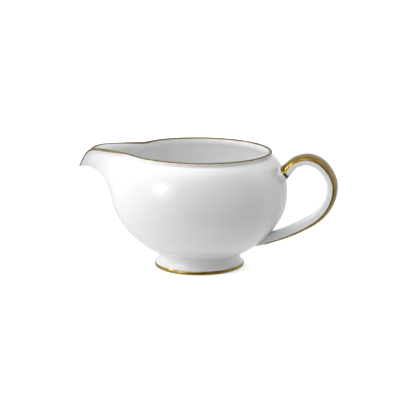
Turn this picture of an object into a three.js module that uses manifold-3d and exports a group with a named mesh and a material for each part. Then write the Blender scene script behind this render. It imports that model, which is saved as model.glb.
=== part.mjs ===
// Porcelain cream jug: a slip-cast bowl with a pulled spout, a stuck-on foot ring, a strap loop handle,
// the slip that joins them, and the gilding fired over the glaze.
// Millimetres, +Z up. The spout points along -X and the handle along +X.
// The origin is on the standing surface, under the middle of the jug's length.
import * as THREE from "three";
import { mergeVertices } from "three/addons/utils/BufferGeometryUtils.js";
import Module from "manifold-3d";

const wasm = await Module();
wasm.setup();

// Overall size
const rimHeight = 64.7; // the gilding brings it to 65
const spoutReach = 68.5; // bowl axis to the gilded tip of the spout
const handleReach = 76.9; // bowl axis to the gilded crest of the handle
const bowlAxisX = (spoutReach - handleReach) / 2;

// Bowl
const rimRadius = 40.2; // half-length of the rim, before the spout is pulled out
const ovalRatio = 0.88; // width of the bowl over its length
const bodyWall = 2.2;
const rimWall = 1.8;
const tipWall = 1; // the wall is pressed thin at the pouring tip
const baseHeight = 5.6; // underside of the bowl, inside the foot ring
const bellyRadius = 48.6;
const bellyHeight = 41.6;

// Spout
const spoutPull = 29.2; // how far the lip is drawn out at the rim
const spoutStart = 31; // height where the pull begins
const spoutFlare = 2.4; // how fast the pull grows with height
const spoutBlend = 0.35; // the pull fades out towards the sides over this much of the cosine
const lipHalfWidth = 6.5; // half-width of the soft pull just under the rim
const throatHalfWidth = 12; // half-width of the pull where it begins
const mouthHalfWidth = 19.5; // at the rim the lip runs straight from two corners this far out
const tipRound = 1.6; // rounding of the lip's tip, seen from above
const cornerSoftness = 0.04;
const tipDrop = 11.9; // the tip curls this far under the rim
const dropStart = 38;
const dropFlare = 2.6;
const curlHalfWidth = 3.5;
const curlRootHalfWidth = 10;
const lipStep = 0.2; // small step down in the rim where the lip starts
const lipStepReach = [27, 36]; // distances in front of the bowl axis that the step runs between

// Foot ring
const neckRadius = 22.55;
const neckHeight = 5.4; // below this the foot flares out
const neckTop = 12.4; // the blank runs up into the bowl and is cut to it
const footRadius = 24.4;
const footRadiusHeight = 1.5;
const standRadius = 23.7; // outer edge of the flat that it stands on
const recessRadius = 21.6;
const footWall = 2.75;

// Joints and gilding
const gap = 0.12; // clearance between separately made pieces
const slipLayer = 0.45;
const slipSpread = 0.8; // how far the slip squeezes out round a handle root
const skinGap = 0.06; // clearance under the gilding
const goldLayer = 0.35;
const collarLength = 1.5;

// Facets
const aroundBowl = 84;
const aroundFoot = 60;
const outerRows = 30;
const innerRows = 17;
const evenSpacing = 0.35; // the rest of the spacing round the bowl crowds towards the spout
const alongHandle = 60;
const domeSteps = 8;

const porcelain = new THREE.MeshStandardMaterial({ color: 0xf3f1ee, roughness: 0.12, metalness: 0 });
const slip = new THREE.MeshStandardMaterial({ color: 0xe6e3dc, roughness: 0.55, metalness: 0 });
const gold = new THREE.MeshStandardMaterial({ color: 0xb9934a, roughness: 0.28, metalness: 1 });

// ---- closed bodies from rings of points ----

// A ring of one point closes an end, and loop joins the last ring back to the first.
function skin(rings, loop = false) {
  const starts = [];
  const positions = [];
  for (const ring of rings) {
    starts.push(positions.length / 3);
    ring.forEach((point) => positions.push(point.x, point.y, point.z));
  }
  const index = [];
  const bands = loop ? rings.length : rings.length - 1;
  for (let i = 0; i < bands; i++) {
    const j = (i + 1) % rings.length;
    const count = Math.max(rings[i].length, rings[j].length);
    for (let k = 0; k < count; k++) {
      const next = (k + 1) % count;
      const a = starts[i] + (rings[i].length > 1 ? k : 0);
      const b = starts[i] + (rings[i].length > 1 ? next : 0);
      const c = starts[j] + (rings[j].length > 1 ? next : 0);
      const d = starts[j] + (rings[j].length > 1 ? k : 0);
      if (a !== b) index.push(a, b, c);
      if (c !== d) index.push(a, c, d);
    }
  }
  const geometry = new THREE.BufferGeometry();
  geometry.setAttribute("position", new THREE.Float32BufferAttribute(positions, 3));
  geometry.setIndex(index);
  return geometry;
}

function middleOf(ring) {
  const sum = ring.reduce((total, point) => total.add(point), new THREE.Vector3());
  return sum.divideScalar(ring.length);
}

// A run of rings with a flat fan over each end.
function cappedSkin(rings) {
  return skin([[middleOf(rings[0])], ...rings, [middleOf(rings.at(-1))]]);
}

// ---- booleans ----

function solidOf(geometry) {
  const bare = new THREE.BufferGeometry();
  bare.setAttribute("position", geometry.getAttribute("position"));
  bare.setIndex(geometry.index);
  const merged = mergeVertices(bare, 1e-4);
  return new wasm.Manifold(
    new wasm.Mesh({
      numProp: 3,
      vertProperties: new Float32Array(merged.attributes.position.array),
      triVerts: new Uint32Array(merged.index.array),
    }),
  );
}

function geometryOf(solid) {
  const mesh = solid.getMesh();
  const geometry = new THREE.BufferGeometry();
  geometry.setAttribute("position", new THREE.BufferAttribute(mesh.vertProperties, mesh.numProp));
  geometry.setIndex(new THREE.BufferAttribute(mesh.triVerts, 1));
  return geometry;
}

// ---- bowl ----

// Outside of the bowl, from the middle of its underside to the edge of the rim.
// x is the radius and y the height.
const bowlProfile = new THREE.CatmullRomCurve3(
  [
    [0, baseHeight],
    [12, baseHeight + 0.2],
    [19.5, 6.5],
    [25.5, 8.8],
    [31.7, 12.8],
    [37.8, 18],
    [42.2, 23],
    [45.6, 28.6],
    [47.8, 34.6],
    [bellyRadius, bellyHeight],
    [48.1, 47.6],
    [46.6, 53.4],
    [44.3, 57.9],
    [42.1, 60.6],
    [40.5, 62],
    [rimRadius - 0.1, rimHeight - 2.1],
    [rimRadius, rimHeight - rimWall / 2],
  ].map(([radius, height]) => new THREE.Vector3(radius, height, 0)),
);

function riseFrom(start, height) {
  return THREE.MathUtils.clamp((height - start) / (rimHeight - start), 0, 1);
}

// How much of the pull is felt across the spout: soft low down, straight-sided with corners at the rim.
function pullShare(across, rise) {
  const pullWidth = THREE.MathUtils.lerp(throatHalfWidth, lipHalfWidth, rise);
  const soft = 1 / Math.cosh(across / pullWidth);
  const straight = (mouthHalfWidth - Math.hypot(across, tipRound)) / (mouthHalfWidth - tipRound);
  const crisp = (straight + Math.hypot(straight, cornerSoftness)) / 2;
  return THREE.MathUtils.lerp(soft, crisp, rise ** 4);
}

// Squeezes the round bowl oval and pulls out the spout. Angle 0 is the handle side.
function shaped(radius, height, angle) {
  const along = radius * Math.cos(angle);
  const across = radius * Math.sin(angle);
  const front = THREE.MathUtils.smoothstep(-Math.cos(angle), 0, spoutBlend);
  const rise = riseFrom(spoutStart, height);
  const dropRise = riseFrom(dropStart, height);

  const out = front * spoutPull * rise ** spoutFlare * pullShare(across, rise);

  const curlWidth = THREE.MathUtils.lerp(curlRootHalfWidth, curlHalfWidth, dropRise);
  const curl = tipDrop * dropRise ** dropFlare * Math.exp(-((across / curlWidth) ** 2));
  const step = lipStep * rise ** 4 * THREE.MathUtils.smoothstep(out - along, ...lipStepReach);
  return new THREE.Vector3(bowlAxisX + along - out, ovalRatio * across, height - front * curl - step);
}

function bowlPoint(t, angle) {
  const point = bowlProfile.getPoint(t);
  return shaped(point.x, point.y, angle);
}

// Position on the outside of the bowl, with the outward normal and the direction up the wall.
function bowlFrame(t, angle) {
  const small = 1e-4;
  const point = bowlPoint(t, angle);
  const up = bowlPoint(Math.min(t + small, 1), angle).sub(bowlPoint(t - small, angle)).normalize();
  const round = bowlPoint(t, angle + small).sub(bowlPoint(t, angle - small));
  return { point, up, normal: round.cross(up).normalize() };
}

// Full wall low down, thinner at the rim and thinnest at the tip of the spout.
function wallAt(t, angle) {
  const profile = bowlProfile.getPoint(t);
  const rise = riseFrom(spoutStart, profile.y);
  const side = (profile.x * Math.sin(angle)) / lipHalfWidth;
  const tip = Math.cos(angle) < 0 ? Math.exp(-(side ** 2)) * rise ** 3 : 0;
  return THREE.MathUtils.lerp(THREE.MathUtils.lerp(bodyWall, rimWall, rise), tipWall, tip);
}

// Angles round the bowl, closer together at the spout.
const bowlAngles = Array.from({ length: aroundBowl }, (_, k) => {
  const turn = (2 * k) / aroundBowl - 1;
  const spread = evenSpacing * Math.abs(turn) + (1 - evenSpacing) * turn ** 2;
  return Math.PI + Math.sign(turn) * Math.PI * spread;
});

// One ring parallel to the outside of the bowl; offsets inward are negative.
function bowlRing(t, offset) {
  return bowlAngles.map((angle) => {
    const { point, normal } = bowlFrame(t, angle);
    const distance = typeof offset === "function" ? offset(t, angle) : offset;
    return point.addScaledVector(normal, distance);
  });
}

// One ring on the rounded rim: turn 0 is the outer wall, PI is the inner wall.
function rimRing(turn, clearance) {
  return bowlAngles.map((angle) => {
    const { point, normal, up } = bowlFrame(1, angle);
    const half = wallAt(1, angle) / 2;
    const reach = half + clearance;
    return point
      .addScaledVector(normal, reach * Math.cos(turn) - half)
      .addScaledVector(up, reach * Math.sin(turn));
  });
}

function pole(offset) {
  return [new THREE.Vector3(bowlAxisX, 0, baseHeight - offset)];
}

const inside = (t, angle) => -wallAt(t, angle);
const rimTurns = [0.25, 0.5, 0.75].map((share) => share * Math.PI);

function makeBowl() {
  const rings = [pole(0)];
  for (let i = 1; i <= outerRows; i++) rings.push(bowlRing(i / outerRows, 0));
  rimTurns.forEach((turn) => rings.push(rimRing(turn, 0)));
  rings.push(bowlRing(1, inside));
  rings.push(bowlRing(1 - 1 / outerRows, inside));
  for (let i = innerRows - 1; i > 0; i--) rings.push(bowlRing((i / innerRows) * (1 - 1 / outerRows), inside));
  rings.push(pole(-bodyWall));
  return skin(rings);
}

// The bowl filled in and grown by an offset, used as a cutter.
function bowlEnvelope(offset) {
  const rings = [pole(offset)];
  for (let i = 1; i <= outerRows; i++) rings.push(bowlRing(i / outerRows, offset));
  rings.push([new THREE.Vector3(bowlAxisX, 0, rimHeight)]);
  return solidOf(skin(rings));
}

// A cap over the rim, one row deep on the outside and ending just over the edge inside.
function makeRimGilding() {
  const lowRow = 1 - 1 / outerRows;
  const sides = [skinGap + goldLayer, skinGap];
  const [outer, inner] = sides.map((clearance) => [
    bowlRing(lowRow, clearance),
    bowlRing(1, clearance),
    ...rimTurns.map((turn) => rimRing(turn, clearance)),
  ]);
  return skin([...outer, ...inner.reverse()], true);
}

// ---- foot ring ----

const footCurve = new THREE.CatmullRomCurve3(
  [
    [neckRadius, neckHeight],
    [neckRadius + 0.25, 4.5],
    [23.4, 3.4],
    [24.1, 2.4],
    [footRadius, footRadiusHeight],
    [24.3, 0.6],
    [standRadius, 0],
  ].map(([radius, height]) => new THREE.Vector3(radius, height, 0)),
);
const footCurveSteps = 18;
const gildedSteps = [12, 16]; // the part of the flare that carries the gold line

function turned(outline) {
  const closed = [...outline, outline[0]].map(([radius, height]) => new THREE.Vector2(radius, height));
  const geometry = new THREE.LatheGeometry(closed, aroundFoot);
  geometry.rotateX(Math.PI / 2);
  geometry.translate(bowlAxisX, 0, 0);
  return geometry;
}

function footPoint(step, offset) {
  const t = step / footCurveSteps;
  const point = footCurve.getPoint(t);
  const tangent = footCurve.getTangent(t);
  return [point.x - offset * tangent.y, point.y + offset * tangent.x];
}

function footSteps(from, to, offset) {
  return Array.from({ length: to - from + 1 }, (_, i) => footPoint(from + i, offset));
}

function makeFootRing() {
  const blank = turned([
    [neckRadius, neckTop],
    [neckRadius - footWall, neckTop],
    [neckRadius - footWall, neckHeight],
    [neckRadius - footWall + 0.5, 2.6],
    [recessRadius - 0.4, 0.4],
    [recessRadius, 0],
    ...footSteps(0, footCurveSteps, 0).reverse(),
  ]);
  const seat = bowlEnvelope(gap + slipLayer + gap);
  return geometryOf(solidOf(blank).subtract(seat));
}

function makeFootSlip() {
  const inset = 0.15;
  const blank = turned([
    [neckRadius - inset, neckTop],
    [neckRadius - footWall + inset, neckTop],
    [neckRadius - footWall + inset, neckHeight - 1],
    [neckRadius - inset, neckHeight - 1],
  ]);
  const layer = bowlEnvelope(gap + slipLayer).subtract(bowlEnvelope(gap));
  return geometryOf(solidOf(blank).intersect(layer));
}

function makeFootGilding() {
  const outer = footSteps(...gildedSteps, skinGap + goldLayer);
  const inner = footSteps(...gildedSteps, skinGap);
  return turned([...outer.reverse(), ...inner]);
}

// ---- handle ----

// Line where the white side meets the gilded back, from inside the bowl wall at the top root, over the
// crest and round to the lower root: x is measured from the bowl axis, y is the height.
const handleLine = new THREE.CatmullRomCurve3(
  [
    [43, 49],
    [47, 53.4],
    [50.2, 57.2],
    [54.3, 60.9],
    [60.5, 62.8],
    [66.7, 61],
    [71.5, 56.4],
    [74.3, 51],
    [74.7, 45.6],
    [73.3, 39.6],
    [69.9, 33.6],
    [64.8, 28.6],
    [57.2, 23.7],
    [48.4, 19.3],
    [40.4, 16.2],
    [34.8, 14.2],
    [30.4, 13.5],
  ].map(([x, z]) => new THREE.Vector3(bowlAxisX + x, 0, z)),
);

// Each list runs evenly from the top root to the lower root.
const strapWidths = [16.5, 14.4, 14, 13, 12, 11, 10, 9.4, 8.6];
const domeHeights = [4.6, 2.8, 1.7, 1.4, 1.7, 1.8, 1.5, 1.2, 0.9];
const sideDepths = [3.4, 2.6, 2.9, 3.1, 3.4, 3.7, 4.1, 4.1, 3.2];
const cornerRadius = 1.3;
const sectionEasing = 0.3; // 0 runs straight from one listed section to the next

function along(values, share) {
  const place = share * (values.length - 1);
  const low = Math.min(Math.floor(place), values.length - 2);
  const eased = THREE.MathUtils.smoothstep(place - low, 0, 1);
  const blend = THREE.MathUtils.lerp(place - low, eased, sectionEasing);
  return THREE.MathUtils.lerp(values[low], values[low + 1], blend);
}

// Points over the gilded back, half an ellipse from one edge to the other: [across, outward].
function domeArc(share, offset) {
  const half = along(strapWidths, share) / 2;
  const height = along(domeHeights, share);
  return Array.from({ length: domeSteps + 1 }, (_, i) => {
    const lean = (Math.PI / 2) * (1 - (2 * i) / domeSteps);
    const normal = new THREE.Vector2(Math.sin(lean) / half, Math.cos(lean) / height).normalize();
    return [half * Math.sin(lean) + offset * normal.x, height * Math.cos(lean) + offset * normal.y];
  });
}

// Points round the white sides and the inner face, from edge to edge: [across, outward].
function sideArc(share, offset) {
  const half = along(strapWidths, share) / 2 + offset;
  const depth = along(sideDepths, share) + offset;
  const corner = cornerRadius + offset;
  const bends = [0, 0.5, 1].map((part) => (part * Math.PI) / 2);
  const left = bends.map((bend) => [
    -half + corner - corner * Math.cos(bend),
    -depth + corner - corner * Math.sin(bend),
  ]);
  const right = left.map(([across, outward]) => [-across, outward]).reverse();
  return [...left, ...right];
}

// Places a point of a section square to the handle line.
function stationPoint(share, [across, out]) {
  const centre = handleLine.getPointAt(share);
  const tangent = handleLine.getTangentAt(share);
  const outward = new THREE.Vector3(-tangent.z, 0, tangent.x);
  return new THREE.Vector3(centre.x, across, centre.z).addScaledVector(outward, out);
}

function stationRing(share, section) {
  return section.map((spot) => stationPoint(share, spot));
}

function strapSection(share, offset) {
  return [...domeArc(share, offset), ...sideArc(share, offset)];
}

function strapRing(share, offset) {
  return stationRing(share, strapSection(share, offset));
}

function stations(from, to) {
  return Array.from({ length: to - from + 1 }, (_, i) => (from + i) / alongHandle);
}

function strap(from, to, offset) {
  return cappedSkin(stations(from, to).map((share) => strapRing(share, offset)));
}

const collarPlace = 0.0775; // share of the handle where the gold collar crosses the line of its edge
const collarTilt = 0.0016; // the collar leans with the bowl wall: share of the handle per mm outward
const goldStart = 5.7;
const goldEnd = alongHandle - 4;
const upperRoot = [0, 9];
const lowerRoot = [47, alongHandle];

function makeHandle() {
  const seat = bowlEnvelope(gap + slipLayer + gap);
  return geometryOf(solidOf(strap(0, alongHandle, 0)).subtract(seat));
}

function makeHandleSlip([from, to]) {
  const layer = bowlEnvelope(gap + slipLayer).subtract(bowlEnvelope(gap));
  return geometryOf(solidOf(strap(from, to, slipSpread)).intersect(layer));
}

// A thin shell over the back of the strap.
function makeBackGilding() {
  const rings = stations(goldStart, goldEnd).map((share) =>
    stationRing(share, [
      ...domeArc(share, skinGap + goldLayer),
      ...domeArc(share, skinGap).reverse(),
    ]),
  );
  return cappedSkin(rings);
}

// A narrow band right round the top root.
function makeCollarGilding() {
  const half = collarLength / 2 / handleLine.getLength();
  const layer = goldLayer + skinGap;
  const places = strapSection(collarPlace, 0).map(([, out]) => collarPlace + collarTilt * out);
  const ring = (end, offset) =>
    places.map((place, k) => stationPoint(place + end, strapSection(place + end, offset)[k]));
  return skin([ring(-half, layer), ring(half, layer), ring(half, skinGap), ring(-half, skinGap)], true);
}

// ---- the jug ----

const jug = new THREE.Group();

function addPiece(name, geometry, material) {
  const mesh = new THREE.Mesh(geometry, material.clone());
  mesh.name = name;
  jug.add(mesh);
}

addPiece("bowl", makeBowl(), porcelain);
addPiece("foot_ring", makeFootRing(), porcelain);
addPiece("handle", makeHandle(), porcelain);
addPiece("foot_slip_joint", makeFootSlip(), slip);
addPiece("handle_upper_slip_joint", makeHandleSlip(upperRoot), slip);
addPiece("handle_lower_slip_joint", makeHandleSlip(lowerRoot), slip);
addPiece("rim_gilding", makeRimGilding(), gold);
addPiece("foot_gilding", makeFootGilding(), gold);
addPiece("handle_back_gilding", makeBackGilding(), gold);
addPiece("handle_collar_gilding", makeCollarGilding(), gold);

export default jug;
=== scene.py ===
# White china cream jug with a drawn lip, a stuck-on foot, a strap handle and burnished gold lines.
# Metres, +Z up, spout towards -X, handle towards +X.
import bpy
import bmesh
from bisect import bisect_left
from math import atan2, cos, cosh, exp, hypot, pi, radians, sin
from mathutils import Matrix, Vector, noise


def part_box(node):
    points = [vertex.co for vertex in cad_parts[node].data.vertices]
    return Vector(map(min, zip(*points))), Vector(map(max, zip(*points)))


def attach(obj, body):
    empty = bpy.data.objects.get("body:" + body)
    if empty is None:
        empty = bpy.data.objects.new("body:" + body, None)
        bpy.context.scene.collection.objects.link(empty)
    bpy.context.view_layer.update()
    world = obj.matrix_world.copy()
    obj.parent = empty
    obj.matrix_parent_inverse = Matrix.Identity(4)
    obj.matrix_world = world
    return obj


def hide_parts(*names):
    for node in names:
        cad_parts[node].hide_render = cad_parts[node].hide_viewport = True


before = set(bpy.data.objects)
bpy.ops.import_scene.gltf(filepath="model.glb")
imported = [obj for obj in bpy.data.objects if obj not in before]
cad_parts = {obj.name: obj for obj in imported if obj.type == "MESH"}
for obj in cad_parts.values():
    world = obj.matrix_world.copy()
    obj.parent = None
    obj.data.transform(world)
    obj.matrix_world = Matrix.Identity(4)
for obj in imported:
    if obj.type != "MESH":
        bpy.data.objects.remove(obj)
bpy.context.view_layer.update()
mm = 0.001
weld = 0.0005 * mm  # vertices nearer than this are one
sharpAngle = radians(50)  # corners steeper than this stay crisp

footLow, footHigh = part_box("foot_ring")
axisX = (footLow[0] + footHigh[0]) / 2  # the bowl and the foot stand on this line


def mix(a, b, share):
    return a + (b - a) * share


def ease(low, high, value):
    share = min(max((value - low) / (high - low), 0), 1)
    return share * share * (3 - 2 * share)


def throughPoints(points, share):
    # centripetal curve through given points, share runs from 0 to 1
    place = min(max(share, 0), 0.999999) * (len(points) - 1)
    i = int(place)
    f = place - i
    p1, p2 = points[i], points[i + 1]
    p0 = points[i - 1] if i > 0 else p1 * 2 - p2
    p3 = points[i + 2] if i + 2 < len(points) else p2 * 2 - p1
    d0, d1, d2 = (p1 - p0).length ** 0.5, (p2 - p1).length ** 0.5, (p3 - p2).length ** 0.5
    m1 = ((p1 - p0) / d0 - (p2 - p0) / (d0 + d1) + (p2 - p1) / d1) * d1
    m2 = ((p2 - p1) / d1 - (p3 - p1) / (d1 + d2) + (p3 - p2) / d2) * d1
    ff, fff = f * f, f * f * f
    return p1 * (2 * fff - 3 * ff + 1) + m1 * (fff - 2 * ff + f) + p2 * (3 * ff - 2 * fff) + m2 * (fff - ff)


def flatPoints(pairs):
    return [Vector((a * mm, b * mm)) for a, b in pairs]


def lastBelow(values, wanted):
    # place of the last rising value below the wanted one
    return min(max(bisect_left(values, wanted) - 1, 0), len(values) - 2)


def bent(start, corner, end, share):
    # a point on the hollow curve from start to end that leans towards the corner
    return start * (1 - share) ** 2 + corner * 2 * share * (1 - share) + end * share ** 2


def finishPiece(name, bm, node, material):
    # turns the bmesh into a smooth piece that stands for a frame node
    mesh = bpy.data.meshes.new(name)
    bm.to_mesh(mesh)
    bm.free()
    mesh.shade_smooth()
    mesh.set_sharp_from_angle(angle=sharpAngle)
    mesh.materials.append(material)
    piece = bpy.data.objects.new(name, mesh)
    bpy.context.scene.collection.objects.link(piece)
    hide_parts(node)
    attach(piece, "root")
    print("made", name, len(mesh.polygons), "faces")
    return piece


def sweptRings(bm, rings):
    # a ring of vertices, extruded from station to station; rings are lists of points
    lane, station = bm.verts.layers.int.new("lane"), bm.verts.layers.int.new("station")
    start = [bm.verts.new(point) for point in rings[0]]
    for k, vertex in enumerate(start):
        vertex[lane] = k
    edges = [bm.edges.new(pair) for pair in zip(start, start[1:] + start[:1])]
    loops = [edges]
    for number, ring in enumerate(rings[1:], 1):
        grown = bmesh.ops.extrude_edge_only(bm, edges=edges)["geom"]
        fresh = {part for part in grown if isinstance(part, bmesh.types.BMVert)}
        for vertex in fresh:
            vertex.co, vertex[station] = ring[vertex[lane]], number
        edges = [part for part in grown if isinstance(part, bmesh.types.BMEdge)
                 and part.verts[0] in fresh and part.verts[1] in fresh]
        loops.append(edges)
    return loops


def closedTube(rings):
    # rings swept round to where they started
    bm = bmesh.new()
    sweptRings(bm, rings + [rings[0]])
    bmesh.ops.remove_doubles(bm, verts=bm.verts, dist=weld)
    facesOut(bm)
    return bm


def spunEdges(bm, outline, steps, closed):
    # spins a line of vertices a full turn round the upright axis
    pairs = zip(outline, outline[1:] + outline[:1] if closed else outline[1:])
    edges = [bm.edges.new(pair) for pair in pairs]
    bmesh.ops.spin(bm, geom=outline + edges, cent=(0, 0, 0), axis=(0, 0, 1), angle=2 * pi, steps=steps,
                   use_merge=True, use_duplicate=False)
    bmesh.ops.remove_doubles(bm, verts=bm.verts, dist=weld)


def facesOut(bm):
    bmesh.ops.recalc_face_normals(bm, faces=bm.faces)
    if bm.calc_volume(signed=True) < 0:
        bmesh.ops.reverse_faces(bm, faces=bm.faces)


class Finish:
    # one material and short calls for wiring its nodes
    def __init__(self, name):
        self.material = bpy.data.materials.new(name)
        self.material.use_nodes = True
        self.nodes = self.material.node_tree.nodes
        self.links = self.material.node_tree.links
        self.shader = self.nodes["Principled BSDF"]

    def add(self, kind, **settings):
        node = self.nodes.new(kind)
        for key, value in settings.items():
            setattr(node, key, value)
        return node

    def join(self, output, socket):
        self.links.new(output, socket)

    def place(self, scale=(1, 1, 1), attribute=None):
        mapping = self.add("ShaderNodeMapping")
        mapping.inputs["Scale"].default_value = scale
        if attribute:
            source = self.add("ShaderNodeAttribute", attribute_name=attribute).outputs["Vector"]
        else:
            source = self.add("ShaderNodeTexCoord").outputs["Object"]
        self.join(source, mapping.inputs["Vector"])
        return mapping.outputs["Vector"]

    def grain(self, vector, scale, detail=3, roughness=0.5):
        node = self.add("ShaderNodeTexNoise")
        node.inputs["Scale"].default_value = scale
        node.inputs["Detail"].default_value = detail
        node.inputs["Roughness"].default_value = roughness
        self.join(vector, node.inputs["Vector"])
        return node.outputs["Fac"]

    def between(self, value, low, high, toLow, toHigh):
        node = self.add("ShaderNodeMapRange")
        for name, number in (("From Min", low), ("From Max", high), ("To Min", toLow), ("To Max", toHigh)):
            node.inputs[name].default_value = number
        self.join(value, node.inputs["Value"])
        return node.outputs["Result"]

    def plus(self, a, b):
        node = self.add("ShaderNodeMath", operation="ADD")
        self.join(a, node.inputs[0])
        self.join(b, node.inputs[1])
        return node.outputs["Value"]

    def blend(self, factor, a, b):
        node = self.add("ShaderNodeMix", data_type="RGBA")
        self.join(factor, node.inputs["Factor"])
        colours = [s for s in node.inputs if s.type == "RGBA"]
        for socket, value in zip(colours, (a, b)):
            if isinstance(value, tuple):
                socket.default_value = (*value, 1)
            else:
                self.join(value, socket)
        return [s for s in node.outputs if s.type == "RGBA"][0]

    def bump(self, height, strength, distance, below=None):
        node = self.add("ShaderNodeBump")
        node.inputs["Strength"].default_value = strength
        node.inputs["Distance"].default_value = distance
        self.join(height, node.inputs["Height"])
        if below:
            self.join(below, node.inputs["Normal"])
        return node.outputs["Normal"]

    def surface(self, colour, roughness, normal):
        self.join(colour, self.shader.inputs["Base Color"])
        self.join(roughness, self.shader.inputs["Roughness"])
        self.join(normal, self.shader.inputs["Normal"])

    def set(self, **values):
        for name, value in values.items():
            self.shader.inputs[name.replace("_", " ")].default_value = value


chinaFinish = {
    "body": (0.86, 0.858, 0.862),
    "bodyWarm": (0.85, 0.85, 0.838),
    "speck": (0.55, 0.5, 0.44),  # rare pinpricks in the paste
    "gloss": (0.14, 0.24),  # lowest and highest roughness
    "ripple": 0.12,
    "peel": 0.05,
    "cloudScale": 22,
    "speckScale": 1400,
    "glossScale": 55,
    "rippleScale": 85,
    "peelScale": 620,
    "depth": 1.2 * mm,  # how far light goes into the china
    "index": 1.52,
    "bisque": (0.8, 0.775, 0.73),  # bare china where it stands
    "bisqueSand": (0.88, 0.86, 0.82),
    "sandScale": 2200,
    "bareHeight": 0.16 * mm,
    "bareEdge": 0.12 * mm,
}


def glazedChina(name, wiped=False):
    look = chinaFinish
    finish = Finish(name)
    where = finish.place()
    cloud = finish.between(finish.grain(where, look["cloudScale"], 4), 0.35, 0.65, 0, 1)
    colour = finish.blend(cloud, look["body"], look["bodyWarm"])
    specks = finish.between(finish.grain(where, look["speckScale"], 1), 0.79, 0.83, 0, 0.5)
    colour = finish.blend(specks, colour, look["speck"])
    gloss = finish.between(finish.grain(where, look["glossScale"], 5, 0.6), 0.3, 0.7, *look["gloss"])
    ripple = finish.bump(finish.grain(where, look["rippleScale"], 2), look["ripple"], 0.4 * mm)
    peel = finish.bump(finish.grain(where, look["peelScale"], 2), look["peel"], 0.1 * mm, ripple)
    finish.set(Subsurface_Weight=0.1, Subsurface_Scale=look["depth"], Subsurface_Radius=(1.0, 0.9, 0.8),
               IOR=look["index"], Coat_Weight=0.5, Coat_Roughness=0.08, Coat_IOR=1.5)
    if wiped:
        # the flat it stands on is wiped clean of glaze before firing
        height = finish.add("ShaderNodeSeparateXYZ")
        finish.join(where, height.inputs["Vector"])
        waver = finish.between(finish.grain(where, 300), 0, 1, -0.1 * mm, 0.1 * mm)
        edge = finish.plus(height.outputs["Z"], waver)
        bare = finish.between(edge, look["bareHeight"], look["bareHeight"] + look["bareEdge"], 1, 0)
        sand = finish.blend(finish.grain(where, look["sandScale"], 4), look["bisque"], look["bisqueSand"])
        colour = finish.blend(bare, colour, sand)
        gloss = finish.plus(gloss, finish.between(bare, 0, 1, 0, 0.5))
    finish.surface(colour, gloss, peel)
    return finish.material


goldFinish = {
    # one gold on every part: the strap's tones are partly its own olive gold and partly painted shade,
    # darkened to stand in for dark reflections; the foot keeps the lightest tones
    "strap": {"bright": (0.29, 0.185, 0.018), "deep": (0.175, 0.105, 0.007), "polish": (0.11, 0.15)},
    "foot": {"bright": (0.36, 0.25, 0.06), "deep": (0.24, 0.16, 0.03), "polish": (0.1, 0.18)},
    # the rim line's tones are darker and greyer still: painted shade in place of the dark reflection of the
    # room above it
    "rim": {"bright": (0.21, 0.155, 0.06), "deep": (0.155, 0.11, 0.038), "polish": (0.28, 0.42)},
    "worn": (0.2, 0.14, 0.05),  # where the gold has thinned
    "patchScale": 160,
    "wearScale": 420,
    "strokes": 0.04,
    "strokeScale": (260, 260, 260),
    "strapStrokeScale": (900, 45, 1),  # long strokes down the strap
    "varnish": 0.2,
}


def burnishedGold(name, part, strokeScale, attribute=None):
    # each part's tones hold painted shade as well as the gold's own colour, darkest on the rim
    goldToneAndShade = goldFinish[part]
    finish = Finish(name)
    where = finish.place()
    strokes = finish.grain(finish.place(strokeScale, attribute), 1, 6, 0.65)
    patches = finish.between(finish.grain(where, goldFinish["patchScale"], 4), 0.35, 0.7, 0, 1)
    colour = finish.blend(patches, goldToneAndShade["bright"], goldToneAndShade["deep"])
    rubbed = finish.between(finish.grain(where, goldFinish["wearScale"], 5, 0.7), 0.66, 0.76, 0, 0.6)
    colour = finish.blend(rubbed, colour, goldFinish["worn"])
    polish = finish.between(strokes, 0.3, 0.7, *goldToneAndShade["polish"])
    finish.surface(colour, polish, finish.bump(strokes, goldFinish["strokes"], 0.03 * mm))
    finish.set(Metallic=1.0, Coat_Weight=goldFinish["varnish"], Coat_Roughness=0.06, Coat_IOR=1.5)
    return finish.material


slipFinish = {
    # the slip is painted a little greyer than the china as shade for the creases it fills, and varies at
    # random between these two tones
    "pale": (0.84, 0.838, 0.832),
    "dullCreaseShade": (0.8, 0.797, 0.785),
    "gloss": (0.16, 0.3),
    "lumps": 0.15,
    "lumpScale": 340,
}


def glazedSlip(name):
    finish = Finish(name)
    lumps = finish.grain(finish.place(), slipFinish["lumpScale"], 4)
    # painted crease shade: both slip tones are darker than the china
    colour = finish.blend(finish.between(lumps, 0.3, 0.7, 0, 1), slipFinish["pale"], slipFinish["dullCreaseShade"])
    gloss = finish.between(lumps, 0.3, 0.7, *slipFinish["gloss"])
    finish.surface(colour, gloss, finish.bump(lumps, slipFinish["lumps"], 0.2 * mm))
    finish.set(IOR=chinaFinish["index"], Coat_Weight=0.5, Coat_Roughness=0.12)
    return finish.material


china = glazedChina("glazedChina")
footChina = glazedChina("glazedFootChina", wiped=True)
slip = glazedSlip("glazedSlip")
rimPaint = burnishedGold("rimLineGold", "rim", goldFinish["strokeScale"])
footPaint = burnishedGold("footLineGold", "foot", goldFinish["strokeScale"])
strapPaint = burnishedGold("strapGold", "strap", goldFinish["strapStrokeScale"], attribute="strap")
collarPaint = burnishedGold("collarLineGold", "strap", goldFinish["strokeScale"])
print("finishes ready")


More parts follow.
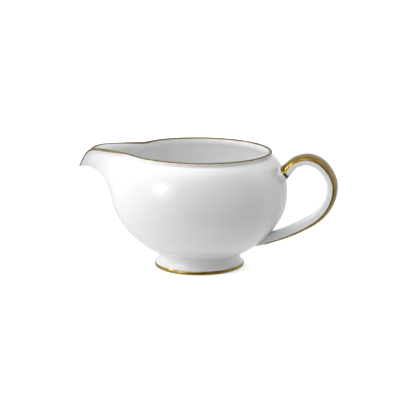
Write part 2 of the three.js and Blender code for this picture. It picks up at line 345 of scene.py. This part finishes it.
bowl = {
    "outline": flatPoints([
        (0, 5.6), (12, 5.8), (19.5, 6.5), (25.5, 8.8), (31.7, 12.8), (37.8, 18), (42.2, 23), (45.6, 28.6),
        (47.8, 34.6), (48.6, 41.6), (48.1, 47.6), (46.6, 53.4), (44.3, 57.9), (42.1, 60.6), (40.5, 62),
        (40.1, 62.6), (40.2, 63.8),
    ]),
    "rimHeight": 64.7 * mm,
    "oval": 0.88,  # width over length
    "wall": 2.2 * mm,
    "rimWall": 1.8 * mm,
    "tipWall": 1 * mm,
    "evenShare": 0.35,  # the rest of the meridians crowd towards the lip
    "roundSteps": 168,
    "outerRows": 88,
    "innerRows": 72,
    "rimTurns": 8,
}

spout = {
    "reach": 0.35,  # how far round the front the pull fades in
    "pull": 29.2 * mm,
    "start": 31 * mm,
    "flare": 2.4,
    "lipHalfWidth": 6.5 * mm,
    "throatHalfWidth": 12 * mm,
    "mouthHalfWidth": 19.5 * mm,  # the lip's straight sides meet the round rim in two corners
    "tipRound": 1.6 * mm,
    "cornerSoftness": 0.04,
    "drop": 11.9 * mm,
    "dropStart": 38 * mm,
    "dropFlare": 2.6,
    "curlHalfWidth": 3.5 * mm,
    "curlRootHalfWidth": 10 * mm,
    "step": 0.2 * mm,  # the rim steps down a little where the lip starts
    "stepFrom": 27 * mm,
    "stepTo": 36 * mm,
}


def riseFrom(start, height):
    return min(max((height - start) / (bowl["rimHeight"] - start), 0), 1)


def pullShare(across, rise):
    # soft across the body, straight-sided at the rim
    soft = 1 / cosh(across / mix(spout["throatHalfWidth"], spout["lipHalfWidth"], rise))
    half, tip = spout["mouthHalfWidth"], spout["tipRound"]
    straight = (half - hypot(across, tip)) / (half - tip)
    crisp = (straight + hypot(straight, spout["cornerSoftness"])) / 2
    return mix(soft, crisp, rise ** 4)


def shaped(radius, height, angle):
    # squeezes the round bowl oval and draws out the lip
    along, across = radius * cos(angle), radius * sin(angle)
    front = ease(0, spout["reach"], -cos(angle))
    rise = riseFrom(spout["start"], height)
    fall = riseFrom(spout["dropStart"], height)
    out = front * spout["pull"] * rise ** spout["flare"] * pullShare(across, rise)
    curlWidth = mix(spout["curlRootHalfWidth"], spout["curlHalfWidth"], fall)
    curl = front * spout["drop"] * fall ** spout["dropFlare"] * exp(-(across / curlWidth) ** 2)
    step = spout["step"] * rise ** 4 * ease(spout["stepFrom"], spout["stepTo"], out - along)
    return Vector((axisX + along - out, bowl["oval"] * across, height - curl - step))


def wallFrame(profile, angle):
    # point on the outside, outward normal and the way up the wall; profile is the point and its neighbours
    here, below, above = profile
    up = (shaped(*above, angle) - shaped(*below, angle)).normalized()
    around = shaped(*here, angle + 1e-4) - shaped(*here, angle - 1e-4)
    return shaped(*here, angle), around.cross(up).normalized(), up


def wallAt(profile, angle):
    here = profile[0]
    rise = riseFrom(spout["start"], here.y)
    side = here.x * sin(angle) / spout["lipHalfWidth"]
    tip = exp(-side ** 2) * rise ** 3 if cos(angle) < 0 else 0
    return mix(mix(bowl["wall"], bowl["rimWall"], rise), bowl["tipWall"], tip)


def profileAt(share):
    return [throughPoints(bowl["outline"], min(share + step, 1)) for step in (0, -1e-4, 1e-4)]


def wallRow(share, inner=False):
    # a row of the wall at one height, on the outside or the inside
    profile = profileAt(share)

    def place(angle):
        point, normal, _ = wallFrame(profile, angle)
        return point - normal * wallAt(profile, angle) if inner else point
    return place


def rimRow(turn, clearance=0):
    # a row on the rounded rim, turn 0 outside and pi inside; past those it runs down the wall
    profile = profileAt(1)

    def place(angle):
        point, normal, up = wallFrame(profile, angle)
        half = wallAt(profile, angle) / 2
        reach = half + clearance
        return point + normal * (reach * cos(min(max(turn, 0), pi)) - half) + up * (reach * sin(turn))
    return place


def gathered(angle):
    # brings the meridians closer together round the lip
    turn = (angle - pi) / pi if angle > 0 else (angle + pi) / pi
    even = bowl["evenShare"]
    return pi + (1 if turn > 0 else -1) * pi * (even * abs(turn) + (1 - even) * turn * turn)


def spunWall(rows, guide, closed=False):
    # spins a labelled outline, then sets every vertex on its own row of the wall
    bm = bmesh.new()
    label = bm.verts.layers.int.new("row")
    outline = []
    for index, (radius, height) in enumerate(guide):
        vertex = bm.verts.new((radius, 0, height))
        vertex[label] = index
        outline.append(vertex)
    spunEdges(bm, outline, bowl["roundSteps"], closed)
    for vertex in bm.verts:
        vertex.co = rows[vertex[label]](gathered(atan2(vertex.co.y, vertex.co.x)))
    facesOut(bm)
    return bm


def makeBowl():
    rows, guide = [], []
    for i in range(bowl["outerRows"] + 1):
        share = i / bowl["outerRows"]
        rows.append(wallRow(share))
        guide.append(throughPoints(bowl["outline"], share))
    for i in range(1, bowl["rimTurns"]):
        turn = pi * i / bowl["rimTurns"]
        rows.append(rimRow(turn))
        guide.append(guide[-1] + Vector((-0.2, 0.05)) * mm)  # only its order matters
    for i in range(bowl["innerRows"] + 1):
        share = 1 - i / bowl["innerRows"]
        rows.append(wallRow(share, inner=True))
        point = throughPoints(bowl["outline"], share)
        guide.append(Vector((point.x * 0.94, point.y + 2 * mm)))
    guide[0].x = guide[-1].x = 0
    bottom, floor = Vector((axisX, 0, guide[0].y)), Vector((axisX, 0, guide[0].y + bowl["wall"]))
    rows[0], rows[-1] = (lambda angle: bottom), (lambda angle: floor)
    bm = spunWall(rows, guide)
    return finishPiece("bowlChina", bm, "bowl", china)


rimGold = {
    "from": radians(28),  # 0 faces straight out of the rim and 180 straight into the bowl
    "to": radians(165),
    "lipFrom": radians(-14),  # the line is broader round the lip, and runs down both faces
    "lipTo": radians(215),
    "lipWidth": 15 * mm,
    "steps": 12,
    "proud": 0.05 * mm,
    "wander": radians(7),  # a hand-painted edge
    "waves": 9,
}


def goldRow(share, proud):
    def place(angle):
        around = Vector((cos(angle), sin(angle), 0)) * rimGold["waves"]
        wave = noise.noise(around + Vector((0, 0, 3 * share)))
        side = bowl["outline"][-1].x * sin(angle)
        lip = exp(-(side / rimGold["lipWidth"]) ** 2) if cos(angle) < 0 else 0
        start, end = (mix(rimGold[a], rimGold[b], lip) for a, b in (("from", "lipFrom"), ("to", "lipTo")))
        return rimRow(mix(start, end, share) + rimGold["wander"] * wave, proud)(angle)
    return place


def makeRimGold():
    # a thin shell over the rounded rim, spun as a closed loop
    rows, guide = [], []
    shares = [i / rimGold["steps"] for i in range(rimGold["steps"] + 1)]
    for side, order in ((1, shares), (-1, shares[::-1])):
        for share in order:
            rows.append(goldRow(share, side * rimGold["proud"]))
            reach = (2.5 + 0.5 * side) * mm
            guide.append((40 * mm + reach * cos(pi * share), 60 * mm + reach * sin(pi * share)))
    bm = spunWall(rows, guide, closed=True)
    return finishPiece("rimGold", bm, "rim_gilding", rimPaint)


foot = {
    "neck": 22.55 * mm,
    "neckHeight": 5.4 * mm,
    "wall": 2.75 * mm,
    "flare": flatPoints([
        (22.55, 5.4), (22.7, 4.6), (23.25, 3.4), (24.1, 2.4), (24.65, 1.5), (24.5, 0.6), (23.7, 0),
    ]),
    "stand": 23.7 * mm,
    "recess": 21.6 * mm,
    "hollow": flatPoints([(21.6, 0), (21.1, 0.5), (20.5, 2.4), (19.8, 5.4)]),
    "neckTop": 12 * mm,
    "pressIn": 0.5 * mm,  # the top edge is pressed this far into its slip
    "roundSteps": 128,
}

footGold = {
    "from": 0.52,  # stretch of the flare that carries the gold line
    "to": 0.92,
    "proud": 0.05 * mm,
    "rows": 10,
}


def heightUnderBowl(radius, angle):
    # height of the bowl's underside at a distance from the axis, in the oval bowl's own measure
    x, y = radius * cos(angle), radius * sin(angle) / bowl["oval"]
    wanted = hypot(x, y)
    low, high = 0.0, 0.5
    for _ in range(30):
        middle = (low + high) / 2
        if throughPoints(bowl["outline"], middle).x < wanted:
            low = middle
        else:
            high = middle
    return throughPoints(bowl["outline"], low).y


def spunFoot(outline):
    # a closed outline, spun round the jug's upright axis
    bm = bmesh.new()
    spunEdges(bm, [bm.verts.new((point.x, 0, point.y)) for point in outline], foot["roundSteps"], closed=True)
    return bm


def makeFoot():
    neck, neckHeight, neckTop = foot["neck"], foot["neckHeight"], foot["neckTop"]
    inner = neck - foot["wall"]
    outline = [throughPoints(foot["flare"], i / 24) for i in range(25)]
    outline += [Vector((mix(foot["stand"], foot["recess"], i / 4), 0)) for i in range(1, 5)]
    outline += [throughPoints(foot["hollow"], i / 10) for i in range(1, 11)]
    outline += [Vector((inner, mix(neckHeight, neckTop, i / 6))) for i in range(1, 7)]
    outline += [Vector((neck, mix(neckTop, neckHeight, i / 10))) for i in range(10)]
    bm = spunFoot(outline)
    for vertex in bm.verts:
        # the top edge is fettled to the underside of the bowl
        if vertex.co.z > neckHeight:
            reach, turn = hypot(vertex.co.x, vertex.co.y), atan2(vertex.co.y, vertex.co.x)
            share = (vertex.co.z - neckHeight) / (neckTop - neckHeight)
            vertex.co.z = mix(neckHeight, heightUnderBowl(reach, turn) + foot["pressIn"], share)
    bmesh.ops.translate(bm, verts=bm.verts, vec=(axisX, 0, 0))
    facesOut(bm)
    return finishPiece("footChina", bm, "foot_ring", footChina)


def makeFootGold():
    layers = []
    for proud in (footGold["proud"], -footGold["proud"]):
        layer = []
        for i in range(footGold["rows"] + 1):
            share = mix(footGold["from"], footGold["to"], i / footGold["rows"])
            ahead = throughPoints(foot["flare"], share + 0.002) - throughPoints(foot["flare"], share - 0.002)
            outward = Vector((-ahead.y, ahead.x)).normalized()
            layer.append(throughPoints(foot["flare"], share) + outward * proud)
        layers.append(layer)
    bm = spunFoot(layers[0] + layers[1][::-1])
    bmesh.ops.translate(bm, verts=bm.verts, vec=(axisX, 0, 0))
    facesOut(bm)
    return finishPiece("footGold", bm, "foot_gilding", footPaint)


footSlip = {
    "bead": 0.24 * mm,
    "unevenness": 0.25,
    "unevenScale": 3,
    "steps": 5,
    "buried": 0.3 * mm,
}


def makeFootSlip():
    # a thin bead of slip that fills the corner all round the seam
    rings = []
    bead, buried, neck = footSlip["bead"], footSlip["buried"], foot["neck"]
    for k in range(foot["roundSteps"]):
        angle = 2 * pi * k / foot["roundSteps"]
        direction = Vector((cos(angle), sin(angle), 0))
        seam = heightUnderBowl(neck, angle)
        slope = Vector((bead, heightUnderBowl(neck + bead, angle) - seam)).normalized()
        size = bead * (1 + footSlip["unevenness"] * noise.noise(direction * footSlip["unevenScale"]))
        corner = Vector((neck, seam))
        hollow = corner + Vector((0.05, -0.03)) * mm
        low, high = corner - Vector((0, size)), corner + slope * size
        ring = [bent(low, hollow, high, i / footSlip["steps"]) for i in range(footSlip["steps"] + 1)]
        ring.append(corner + Vector((-buried, buried)))
        rings.append([Vector((axisX, 0, point.y)) + direction * point.x for point in ring])
    bm = closedTube(rings)
    return finishPiece("footSlip", bm, "foot_slip_joint", slip)


handle = {
    "line": flatPoints([  # edge between the side and the gilded back, top root to lower root
        (43, 49), (47, 53.4), (50.2, 57.2), (54.3, 60.9), (60.5, 62.8), (66.7, 61), (71.5, 56.4),
        (74.3, 51), (74.7, 45.6), (73.3, 39.6), (69.9, 33.6), (64.8, 28.6), (57.2, 23.7), (48.4, 19.3),
        (40.4, 16.2), (34.8, 14.2), (30.4, 13.5),
    ]),
    "widths": [value * mm for value in (16.5, 14.4, 14, 13, 12, 11, 10, 9.4, 8.6)],
    "domes": [value * mm for value in (4.9, 3.1, 2, 1.7, 2, 2.1, 1.8, 1.5, 1.2)],  # height of the gilded back
    "sides": [value * mm for value in (3.4, 2.6, 2.9, 3.1, 3.4, 3.7, 4.1, 4.1, 3.2)],
    "corner": 1.3 * mm,
    "crown": 0.25 * mm,  # the inner face is just crowned
    "easing": 0.3,
    "domeSteps": 26,
    "cornerSteps": 6,
    "faceSteps": 8,
    "stations": 150,
    "bury": 0.9 * mm,  # how far the ends go into the bowl wall
}

strapGoldBand = {
    "from": 0.083,
    "to": 0.945,
    "proud": 0.05 * mm,
    "edge": 0.02,  # the gold stops this far short of the edge, as a share of half the width
    "taper": 0.75,  # and it draws in to a brush end at the lower root
    "taperFrom": 0.985,
}

collar = {
    "place": 0.0785,  # where it crosses the edge of the strap
    "tilt": 0.0016 / mm,  # it leans with the bowl wall
    "half": 0.75 * mm,
    "rows": 6,
    "proud": 0.07 * mm,
}


def evenTable(points, count=800):
    # lengths along the handle line, for even stations
    table, previous, total = [], throughPoints(points, 0), 0
    for i in range(count + 1):
        here = throughPoints(points, i / count)
        total += (here - previous).length
        table.append(total)
        previous = here
    return table


lineTable = evenTable(handle["line"])


def placeAlong(share):
    wanted = min(max(share, 0), 1) * lineTable[-1]
    low = lastBelow(lineTable, wanted)
    inside = (wanted - lineTable[low]) / max(lineTable[low + 1] - lineTable[low], 1e-12)
    return (low + inside) / (len(lineTable) - 1)


def alongHandle(values, share):
    place = min(max(share, 0), 1) * (len(values) - 1)
    low = min(int(place), len(values) - 2)
    f = place - low
    return mix(values[low], values[low + 1], mix(f, f * f * (3 - 2 * f), handle["easing"]))


def lineFrame(share):
    place = placeAlong(share)
    here = throughPoints(handle["line"], place)
    ahead = throughPoints(handle["line"], place + 0.002) - throughPoints(handle["line"], place - 0.002)
    ahead.normalize()
    return here, ahead


def domeSection(share, offset=0, edge=0):
    # half an ellipse from one edge of the strap over to the other
    half = alongHandle(handle["widths"], share) / 2
    height = alongHandle(handle["domes"], share)
    points = []
    for i in range(handle["domeSteps"] + 1):
        lean = pi / 2 * (1 - edge) * (1 - 2 * i / handle["domeSteps"])
        normal = Vector((sin(lean) / half, cos(lean) / height)).normalized()
        points.append((half * sin(lean) + offset * normal.x, height * cos(lean) + offset * normal.y))
    return points


def sideSection(share, offset=0):
    half = alongHandle(handle["widths"], share) / 2 + offset
    depth = alongHandle(handle["sides"], share) + offset
    corner = handle["corner"] + offset
    left = [(-half, -(depth - corner) * i / 4) for i in (1, 2, 3)]
    for i in range(handle["cornerSteps"] + 1):
        bend = pi / 2 * i / handle["cornerSteps"]
        left.append((-half + corner - corner * cos(bend), -depth + corner - corner * sin(bend)))
    face = []
    for i in range(1, handle["faceSteps"]):
        f = i / handle["faceSteps"]
        face.append((mix(-half + corner, half - corner, f), -depth - handle["crown"] * sin(pi * f)))
    right = [(-across, outward) for across, outward in reversed(left)]
    return left + face + right


def strapSection(share, offset=0):
    return domeSection(share, offset) + sideSection(share, offset)


def strapPoint(share, spot):
    here, ahead = lineFrame(share)
    outward = Vector((-ahead.y, ahead.x))
    across, out = spot
    return Vector((axisX + here.x + outward.x * out, across, here.y + outward.y * out))


wallTable = [throughPoints(bowl["outline"], i / 600) for i in range(601)]
wallHeights = [point.y for point in wallTable]


def depthInBowl(point):
    # how far inside the back of the bowl a point is, measured level
    radius = wallTable[lastBelow(wallHeights, point.z)].x
    return radius - hypot(point.x - axisX, point.y / bowl["oval"])


def crossing(lane, deep, shallow, bury):
    # share of the handle where one lane of the strap is buried by a given depth
    for _ in range(26):
        middle = (deep + shallow) / 2
        if depthInBowl(strapPoint(middle, strapSection(middle)[lane])) > bury:
            deep = middle
        else:
            shallow = middle
    return (deep + shallow) / 2


def cappedSweep(bm, rings):
    loops = sweptRings(bm, rings)
    for loop in (loops[0], loops[-1]):
        bmesh.ops.edgeloop_fill(bm, edges=loop)
    facesOut(bm)


def makeHandle():
    # each lane of the strap runs from just inside the bowl to just inside the bowl again
    lanes = range(len(strapSection(0.5)))
    spans = [(crossing(k, 0.0, 0.2, handle["bury"]), crossing(k, 1.0, 0.8, handle["bury"])) for k in lanes]
    rings = []
    for j in range(handle["stations"] + 1):
        shares = [mix(*span, j / handle["stations"]) for span in spans]
        rings.append([strapPoint(share, strapSection(share)[k]) for k, share in enumerate(shares)])
    bm = bmesh.new()
    cappedSweep(bm, rings)
    return finishPiece("handleChina", bm, "handle", china)


def makeStrapGold():
    band = strapGoldBand
    rings = []
    for j in range(handle["stations"] + 1):
        done = j / handle["stations"]
        share = mix(band["from"], band["to"], done)
        narrowing = band["edge"] + band["taper"] * ease(band["taperFrom"], 1, done)
        top = domeSection(share, band["proud"], narrowing)
        under = domeSection(share, -band["proud"], narrowing)
        rings.append([strapPoint(share, spot) for spot in top + under[::-1]])
    bm = bmesh.new()
    strapLayer = bm.verts.layers.float_vector.new("strap")
    cappedSweep(bm, rings)
    station = bm.verts.layers.int["station"]
    spacing = lineTable[-1] * (band["to"] - band["from"]) / handle["stations"]
    for vertex in bm.verts:
        vertex[strapLayer] = (vertex.co.y, spacing * vertex[station], 0)  # across and along the strap
    return finishPiece("handleGold", bm, "handle_back_gilding", strapPaint)


def makeCollarGold():
    # a painted band right round the root, as a thin closed shell
    half = collar["half"] / lineTable[-1]
    places = [collar["place"] + collar["tilt"] * out for across, out in strapSection(collar["place"])]
    rings = []
    for side in (1, -1):
        for i in range(collar["rows"] + 1):
            step = side * half * (2 * i / collar["rows"] - 1)
            sections = [strapSection(place + step, side * collar["proud"]) for place in places]
            rings.append([strapPoint(place + step, sections[k][k]) for k, place in enumerate(places)])
    bm = closedTube(rings)
    return finishPiece("collarGold", bm, "handle_collar_gilding", collarPaint)


rootSlip = {
    "topSize": 0.9 * mm,
    "lowerSize": 0.8 * mm,
    "rise": 0.9,  # it climbs the strap a little less than it spreads on the bowl
    "unevenness": 0.15,
    "unevenScale": 90,
    "steps": 6,
}


def bowlNormal(point):
    # outward normal of the back of the bowl near a point
    small = 0.05 * mm
    slopes = [depthInBowl(point + Vector(step)) - depthInBowl(point - Vector(step))
              for step in ((small, 0, 0), (0, small, 0), (0, 0, small))]
    return -Vector(slopes).normalized()


def makeRootSlip(name, node, deep, shallow, size):
    # a hollow fillet of slip between the strap and the bowl
    outwards = 0.004 if shallow > deep else -0.004
    lanes = len(strapSection(0.5))
    rings = []
    for k in range(lanes):
        share = crossing(k, deep, shallow, 0)
        section = strapSection(share)
        point = strapPoint(share, section[k])
        ahead = (strapPoint(share + outwards, strapSection(share + outwards)[k]) - point).normalized()
        around = strapPoint(share, section[(k + 1) % lanes]) - strapPoint(share, section[k - 1])
        away = ahead.cross(around).normalized()
        if away.dot(point - strapPoint(share, (0, 0))) < 0:
            away = -away
        normal = bowlNormal(point)
        spread = (away - normal * away.dot(normal)).normalized()
        grow = size * (1 + rootSlip["unevenness"] * noise.noise(point * rootSlip["unevenScale"]))
        top = point + ahead * grow * rootSlip["rise"] + away * 0.01 * mm
        toe = point + spread * grow
        for _ in range(3):
            toe += normal * depthInBowl(toe)  # brings it onto the bowl
        corner = point + (away + normal) * 0.05 * mm
        ring = [bent(top, corner, toe, i / rootSlip["steps"]) for i in range(rootSlip["steps"] + 1)]
        # the rest is out of sight in the china
        ring.append(toe + (spread * 0.12 - normal * 0.04) * mm)
        ring.append(toe - normal * 0.3 * mm)
        ring.append(point - normal * 0.5 * mm - away * 0.5 * mm)
        ring.append(top - away * 0.3 * mm)
        rings.append(ring)
    return finishPiece(name, closedTube(rings), node, slip)


makeBowl()
makeRimGold()
makeFoot()
makeFootGold()
makeFootSlip()
makeHandle()
makeStrapGold()
makeCollarGold()
makeRootSlip("topRootSlip", "handle_upper_slip_joint", 0.0, 0.2, rootSlip["topSize"])
makeRootSlip("lowerRootSlip", "handle_lower_slip_joint", 1.0, 0.8, rootSlip["lowerSize"])


studio = {
    "paper": (0.9, 0.9, 0.9),
    "paperGlow": 0.5,  # the floor is lit from under, so that it stays white
    "floorSize": 12,
    "azimuth": radians(12),
    "elevation": radians(13.3),
    "distance": 1.2,
    "frameWidth": 228.8 * mm,
    "aimRight": 4.785 * mm,
    "aimHeight": 32.1 * mm,
    "air": (0.985, 0.99, 1.0),
    "ambient": 1.0,
    "lean": (-62, 43, 0.15),  # azimuth and elevation in degrees of the brighter side of the room
    "darks": [(36, 5, 68, 40, 0.72), (190, 12, 80, 35, 0.2), (-18, -14, 44, 16, 0.42)],  # outer, inner, depth
    "glows": [(-38.5, 13, 20, 4, 1.9), (-38.5, 13, 6, 1, 12.0), (-78, 35, 5, 1, 26.0)],  # outer, inner, glow
    "panel": (-20, 66),
    "panelDistance": 1.6,
    "panelSize": 1.5,
    "panelGlow": 0.85,
}


def towards(azimuth, elevation):
    # azimuth 0 is straight in front of the jug, negative is the spout side
    a, e = radians(azimuth), radians(elevation)
    return Vector((sin(a) * cos(e), -cos(a) * cos(e), sin(e)))


def makeFloor():
    bm = bmesh.new()
    bmesh.ops.create_grid(bm, x_segments=1, y_segments=1, size=studio["floorSize"] / 2)
    mesh = bpy.data.meshes.new("floor")
    bm.to_mesh(mesh)
    bm.free()
    floor = bpy.data.objects.new("floor", mesh)
    bpy.context.scene.collection.objects.link(floor)
    floor.visible_diffuse = False  # the room lights the jug from all round instead
    floor.visible_glossy = False
    floor.visible_shadow = False
    paper = Finish("studioPaper")
    paper.set(Base_Color=(*studio["paper"], 1), Roughness=0.9, Specular_IOR_Level=0.0,
              Emission_Color=(1, 1, 1, 1), Emission_Strength=studio["paperGlow"])
    mesh.materials.append(paper.material)


def makePanel():
    # a square softbox overhead that faces the jug
    data = bpy.data.lights.new("topPanel", "AREA")
    data.shape = "SQUARE"
    data.size = studio["panelSize"]
    data.energy = studio["panelGlow"] * pi * studio["panelSize"] ** 2
    panel = bpy.data.objects.new("topPanel", data)
    direction = towards(*studio["panel"])
    panel.location = direction * studio["panelDistance"] + Vector((0, 0, 0.035))
    panel.rotation_euler = direction.to_track_quat("Z", "Y").to_euler()
    bpy.context.scene.collection.objects.link(panel)


def makeWorld():
    world = bpy.data.worlds.new("studioWorld")
    world.use_nodes = True
    bpy.context.scene.world = world
    nodes, links = world.node_tree.nodes, world.node_tree.links
    direction = nodes.new("ShaderNodeTexCoord").outputs["Generated"]

    def facing(way, low, high, toLow, toHigh, blend="SMOOTHSTEP"):
        dot = nodes.new("ShaderNodeVectorMath")
        dot.operation = "DOT_PRODUCT"
        links.new(direction, dot.inputs[0])
        dot.inputs[1].default_value = way
        spread = nodes.new("ShaderNodeMapRange")
        spread.interpolation_type = blend
        for name, value in (("From Min", low), ("From Max", high), ("To Min", toLow), ("To Max", toHigh)):
            spread.inputs[name].default_value = value
        links.new(dot.outputs["Value"], spread.inputs["Value"])
        return spread.outputs["Result"]

    def together(operation, a, b):
        node = nodes.new("ShaderNodeMath")
        node.operation = operation
        links.new(a, node.inputs[0])
        links.new(b, node.inputs[1])
        return node.outputs["Value"]

    azimuth, elevation, lean = studio["lean"]
    low, high = studio["ambient"] - lean, studio["ambient"] + lean
    room = facing(towards(azimuth, elevation), -1, 1, low, high, "LINEAR")
    for azimuth, elevation, outer, inner, depth in studio["darks"]:
        dark = facing(towards(azimuth, elevation), cos(radians(outer)), cos(radians(inner)), 1, 1 - depth)
        room = together("MULTIPLY", room, dark)
    for azimuth, elevation, outer, inner, glow in studio["glows"]:
        box = facing(towards(azimuth, elevation), cos(radians(outer)), cos(radians(inner)), 0, glow)
        room = together("ADD", room, box)
    links.new(room, nodes["Background"].inputs["Strength"])
    nodes["Background"].inputs["Color"].default_value = (*studio["air"], 1)


def makeCamera():
    azimuth, elevation = studio["azimuth"], studio["elevation"]
    right = Vector((cos(azimuth), sin(azimuth), 0))
    back = Vector((sin(azimuth) * cos(elevation), -cos(azimuth) * cos(elevation), sin(elevation)))
    aim = Vector((axisX, 0, studio["aimHeight"])) + right * studio["aimRight"]
    data = bpy.data.cameras.new("studioCamera")
    data.sensor_width = 36
    data.lens = 36 * studio["distance"] / studio["frameWidth"]
    data.clip_start = 0.05
    camera = bpy.data.objects.new("studioCamera", data)
    camera.location = aim + back * studio["distance"]
    camera.rotation_euler = back.to_track_quat("Z", "Y").to_euler()
    bpy.context.scene.collection.objects.link(camera)
    bpy.context.scene.camera = camera


makeFloor()
makeWorld()
makePanel()
makeCamera()
bpy.context.scene.view_settings.view_transform = "Standard"
print("studio ready")
